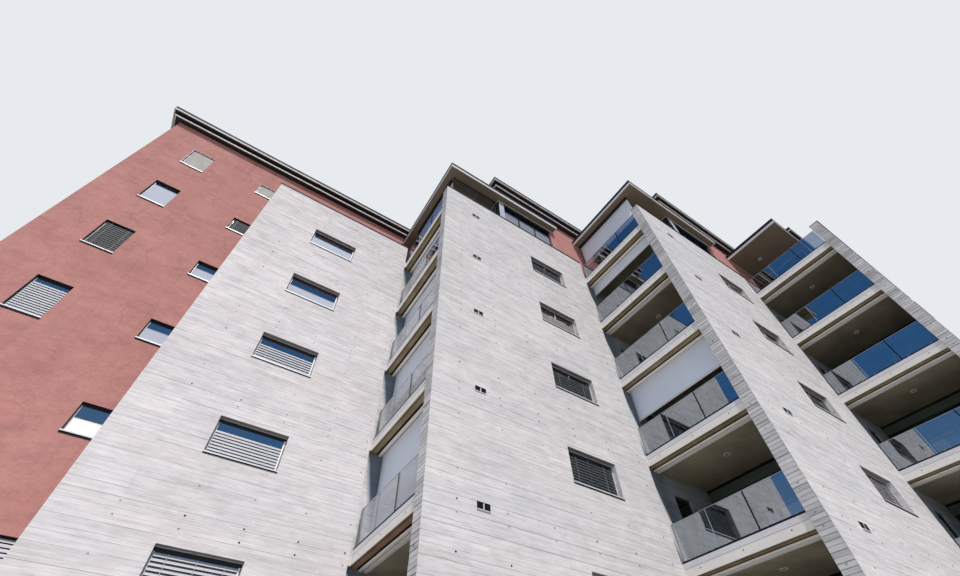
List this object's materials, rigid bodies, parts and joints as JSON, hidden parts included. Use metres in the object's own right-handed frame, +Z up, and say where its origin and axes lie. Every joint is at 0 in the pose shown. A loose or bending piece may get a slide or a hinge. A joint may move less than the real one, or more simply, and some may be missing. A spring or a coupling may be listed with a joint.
{
  "type": "stepped apartment block",
  "caption": "Stepped apartment block with board-marked concrete end walls, glazed loggias in the steps, a red plastered core and thin overhanging roofs.",
  "frame": {"origin": "centre of the bounding box on the ground", "axes": "+X to the right along the street front, +Y into the block away from the street, +Z up"},
  "size_m": [32.83, 23.23, 22.07],
  "materials": {
    "concrete": "board marked, matt",
    "red_plaster": "mineral plaster, matt",
    "slab": "smooth concrete",
    "dark_metal": "satin sheet",
    "white_metal": "satin",
    "glass": "clear",
    "fabric": "woven, matt",
    "roof": "membrane"
  },
  "bodies": {
    "root": {"ground_slab": "slab", "floor_1": "slab", "floor_2": "slab", "floor_3": "slab", "floor_4": "slab", "floor_5": "slab", "attic_floor": "slab", "front_wall_a": "concrete", "front_wall_b": "concrete", "front_wall_c": "concrete", "front_wall_d": "concrete", "front_wall_red": "red_plaster", "left_wall": "red_plaster", "right_wall": "red_plaster", "back_wall_1": "red_plaster", "back_wall_2": "red_plaster", "back_wall_3": "red_plaster", "back_wall_4": "red_plaster", "return_walls": "red_plaster", "attic_wall_a": "red_plaster", "attic_wall_b": "red_plaster", "attic_wall_c": "red_plaster", "attic_wall_d": "red_plaster", "attic_windows": "glass", "attic_posts": "white_metal", "loggia_walls": "concrete", "loggia_lintels": "dark_metal", "loggia_doors_1": "glass", "loggia_doors_2": "glass", "loggia_doors_3": "glass", "railing_1": "glass", "railing_2": "glass", "railing_3": "glass", "railing_shoes": "dark_metal", "screen_boxes": "white_metal", "drop_screens": "fabric", "low_roofs": "roof", "roof_plate": "roof", "roof_cornice": "roof", "parapet_caps": "dark_metal", "windows_concrete": "glass", "windows_red": "glass", "windows_back": "glass", "entrance_door": "dark_metal", "downlights": "white_metal"}
  },
  "joints": []
}
